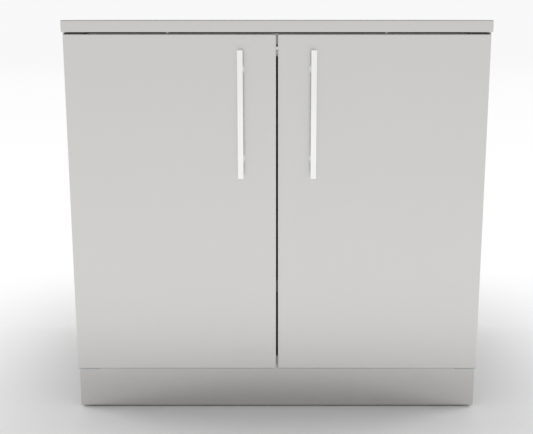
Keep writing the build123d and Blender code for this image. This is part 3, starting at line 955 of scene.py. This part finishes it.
@dataclass
class LevellingFoot:
    """One foot: a moulded pad and a threaded stem with a hexagon for the spanner."""

    place: str
    stem_radius: float = 5.0 * MM
    thread_pitch: float = 1.5 * MM
    thread_depth: float = 0.8 * MM
    thread_foot: float = 0.85
    hex_gap: float = 2.0 * MM
    hex_height: float = 8.0 * MM
    hex_chamfer: float = 0.8 * MM
    hex_steps: int = 48
    sole_recess: float = 1.0 * MM
    edge: float = 0.8 * MM
    rim_height: float = 4.0 * MM
    top_radius: float = 15.0 * MM
    sole_ring: float = 17.0 * MM
    socket_gap: float = 0.05 * MM
    pad_steps: int = 64

    def build(self) -> None:
        """Makes the pad, then the stem that stands in it."""
        pad_low, pad_high = box_of(f"{self.place}_pad")
        stem_low, stem_high = box_of(f"{self.place}_stem")
        self.pad(pad_low, pad_high, stem_low.z)
        self.stem(stem_low, stem_high, pad_high.z)

    def pad(self, low: Vector, high: Vector, socket: float) -> None:
        """Makes the pad, with a hollow sole, a rim, a cone and the stem's socket.

        Args:
            low: the lowest corner of the pad's box.
            high: its highest corner.
            socket: the height of the socket's floor.
        """
        radius, height, edge = (high.x - low.x) / 2, high.z - low.z, self.edge
        bore = self.stem_radius + self.socket_gap
        outline = [(0, self.sole_recess), (self.sole_ring, self.sole_recess), (self.sole_ring + edge, 0),
                   (radius - edge, 0), (radius, edge), (radius, self.rim_height - edge / 2),
                   (radius - edge, self.rim_height + edge / 3), (self.top_radius + edge, height - edge),
                   (self.top_radius - edge, height), (bore + edge, height), (bore, height - edge),
                   (bore, socket - low.z), (0, socket - low.z)]
        shape = Shape()
        shape.turned(outline, standing(end_of(low, high, -UP), UP), self.pad_steps)
        shape.settle(f"{self.place}_moulded_pad", self.place, BLACK_PLASTIC,
                     [f"{self.place}_pad"])

    def stem(self, low: Vector, high: Vector, pad_top: float) -> None:
        """Makes the stem, with its hexagon above the pad and a thread above that.

        Args:
            low: the lowest corner of the stem's box.
            high: its highest corner.
            pad_top: the height of the pad's top.
        """
        length, chamfer = high.z - low.z, self.hex_chamfer
        core = self.stem_radius - self.thread_depth * self.thread_foot
        flat = (high.y - low.y) / 2
        round_end = flat * HEXAGON_END
        hex_start = pad_top + self.hex_gap - low.z
        hex_end = hex_start + self.hex_height
        outline = [(0, 0), (self.stem_radius - chamfer, 0), (self.stem_radius, chamfer),
                   (self.stem_radius, hex_start), (round_end, hex_start), (flat, hex_start + chamfer),
                   (flat, hex_end - chamfer), (round_end, hex_end), (core, hex_end), (core, length - chamfer),
                   (core - chamfer, length), (0, length)]
        stand = standing(end_of(low, high, -UP), UP)
        shape = Shape()
        shape.turned(outline, stand, self.hex_steps, shaped=(flat,))
        shape.thread(self.stem_radius, self.thread_depth, self.thread_pitch, hex_end, length - chamfer, stand)
        shape.settle(f"{self.place}_threaded_stem", self.place, ZINC, [f"{self.place}_stem"])


@dataclass(frozen=True)
class SoftLamp:
    """A square soft lamp, turned towards the cabinet."""

    name: str
    place: tuple[float, float, float]
    width: float
    power: float
    target: tuple[float, float, float] = (0.0, 0.0, 0.3)

    def build(self) -> None:
        """Hangs the lamp, which no gloss mirrors."""
        data = bpy.data.lights.new(self.name, "AREA")
        data.size = self.width
        data.energy = self.power
        lamp = bpy.data.objects.new(self.name, data)
        beam = Vector(self.target) - Vector(self.place)
        lamp.visible_glossy = False
        lamp.matrix_world = Matrix.Translation(self.place) @ beam.to_track_quat("-Z", "Y").to_matrix().to_4x4()
        bpy.context.scene.collection.objects.link(lamp)


@dataclass
class Studio:
    """A pale floor that fades into a white background, under soft lamps above and on both sides."""

    floor_reach: float = 60.0
    floor_cells: int = 4
    floor_colour: Colour = (0.96, 0.96, 0.96)
    far_colour: Colour = (1.0, 1.0, 1.0)
    fade_start: float = 0.0
    fade_end: float = 0.75
    background: Colour = (0.94, 0.94, 0.94)
    haze_start: float = 2.5
    haze_end: float = 18.0
    ceiling: Colour = (0.5, 0.5, 0.5)
    ceiling_start: float = 0.25
    ceiling_end: float = 0.8
    fill_colour: Colour = (1.0, 1.0, 1.0)
    fill_strength: float = 0.65
    lamps: tuple[SoftLamp, ...] = (
        SoftLamp("overhead_lamp", (0.0, 1.5, 3.2), 2.2, 4.0),
        SoftLamp("left_lamp", (-2.6, 0.45, 1.5), 1.2, 18.0),
        SoftLamp("right_lamp", (2.6, 0.45, 1.5), 1.2, 18.0))

    def build(self) -> None:
        """Makes the world, the floor and the lamps."""
        self.world()
        self.floor()
        for lamp in self.lamps:
            lamp.build()

    def seen(self, sheet: NodeSheet) -> Signal:
        """One where a ray comes from the camera, a gloss or a clear material, and zero elsewhere."""
        total = sheet.ray("Is Camera Ray") + sheet.ray("Is Glossy Ray") + sheet.ray("Is Transmission Ray")
        return total.at_most(1.0)

    def world(self) -> None:
        """The white that is seen, its greyer ceiling in reflections, and the light that falls on the object.

        A gloss throws none of it on to a matte surface, so the steel casts no light on the floor.
        """
        world = bpy.data.worlds.new("studio_white")
        bpy.context.scene.world = world
        world.use_nodes = True
        sheet = NodeSheet(world.node_tree)
        light = sheet.add("ShaderNodeBackground", None, {"Color": self.fill_colour, "Strength": self.fill_strength})
        white = sheet.add("ShaderNodeBackground", None, {"Color": self.background, "Strength": 1.0})
        grey = sheet.add("ShaderNodeBackground", None, {"Color": self.ceiling, "Strength": 1.0})
        raised = sheet.between(sheet.height(), self.ceiling_start, self.ceiling_end)
        around = sheet.mixed(raised * sheet.ray("Is Glossy Ray"), white, grey)
        all_light = sheet.mixed(self.seen(sheet), light, around)
        bounced = sheet.ray("Diffuse Depth").at_most(1.0) * sheet.ray("Is Glossy Ray")
        sheet.add("ShaderNodeOutputWorld", None, {"Surface": sheet.mixed(bounced, all_light).outputs[0]})

    def floor(self) -> None:
        """A level floor: it keeps the shadow near the object, turns white and ends in the background's tone."""
        grid = bmesh.new()
        bmesh.ops.create_grid(grid, x_segments=self.floor_cells, y_segments=self.floor_cells,
                              size=self.floor_reach)
        mesh = bpy.data.meshes.new("studio_floor")
        grid.to_mesh(mesh)
        grid.free()
        material = bpy.data.materials.new("studio_floor")
        material.use_nodes = True
        sheet = NodeSheet(material.node_tree)
        footprint = (cad_bounds[1][0], cad_bounds[1][1], 0.0)
        across = sheet.add("ShaderNodeVectorMath", {"operation": "ABSOLUTE"}, {0: sheet.place()})
        outside = sheet.add("ShaderNodeVectorMath", {"operation": "SUBTRACT"}, {0: across.outputs[0], 1: footprint})
        beside = sheet.add("ShaderNodeVectorMath", {"operation": "MAXIMUM"}, {0: outside.outputs[0], 1: (0, 0, 0)})
        length = sheet.add("ShaderNodeVectorMath", {"operation": "LENGTH"}, {0: beside.outputs[0]})
        away = Signal(sheet, length.outputs["Value"])
        far = sheet.between(away, self.fade_start, self.fade_end)
        hazy = sheet.between(away, self.haze_start, self.haze_end, Course.STEADY)
        near = sheet.add("ShaderNodeBsdfDiffuse", None, {"Color": self.floor_colour})
        tones = [sheet.add("ShaderNodeEmission", None, {"Color": colour, "Strength": 1.0})
                 for colour in (self.far_colour, self.background)]
        whole = sheet.mixed(self.seen(sheet) * far, near, sheet.mixed(hazy, *tones))
        sheet.add("ShaderNodeOutputMaterial", None, {"Surface": whole.outputs[0]})
        mesh.materials.append(material)
        floor = bpy.data.objects.new("studio_floor", mesh)
        bpy.context.scene.collection.objects.link(floor)


@dataclass
class PhotoCamera:
    """The camera of the photograph: straight in front, looking down a little."""

    place: tuple[float, float, float] = (0.0, -2.2775, 0.888)
    looks_down: float = math.radians(12.16)
    lens: float = 62.36
    sensor: float = 36.0
    shift: float = -0.0197

    def build(self) -> None:
        """Makes the camera the scene's own."""
        data = bpy.data.cameras.new("photo_camera")
        data.sensor_width = self.sensor
        data.lens = self.lens
        data.shift_x = self.shift
        camera = bpy.data.objects.new("photo_camera", data)
        camera.location = self.place
        camera.rotation_euler = (math.tau / 4 - self.looks_down, 0, 0)
        bpy.context.scene.collection.objects.link(camera)
        bpy.context.scene.camera = camera


def main() -> None:
    """Builds the scene, one sub-assembly after another."""
    logging.basicConfig(level=logging.INFO, format="%(name)s: %(message)s")
    bpy.context.scene.view_settings.view_transform = "Standard"
    feet = ("front_left_foot", "front_right_foot", "rear_left_foot", "rear_right_foot")
    parts = [PhotoCamera(), Studio(), Worktop(), Carcass(), PivotHinges(), MagneticCatch(), Shelf(), Plinth()]
    parts += [LevellingFoot(place) for place in feet]
    for side in Side:
        parts += [Door(side), BarHandle(side)]
    for part in parts:
        part.build()
        LOG.info("built %s", type(part).__name__)


if __name__ == "__main__":
    main()
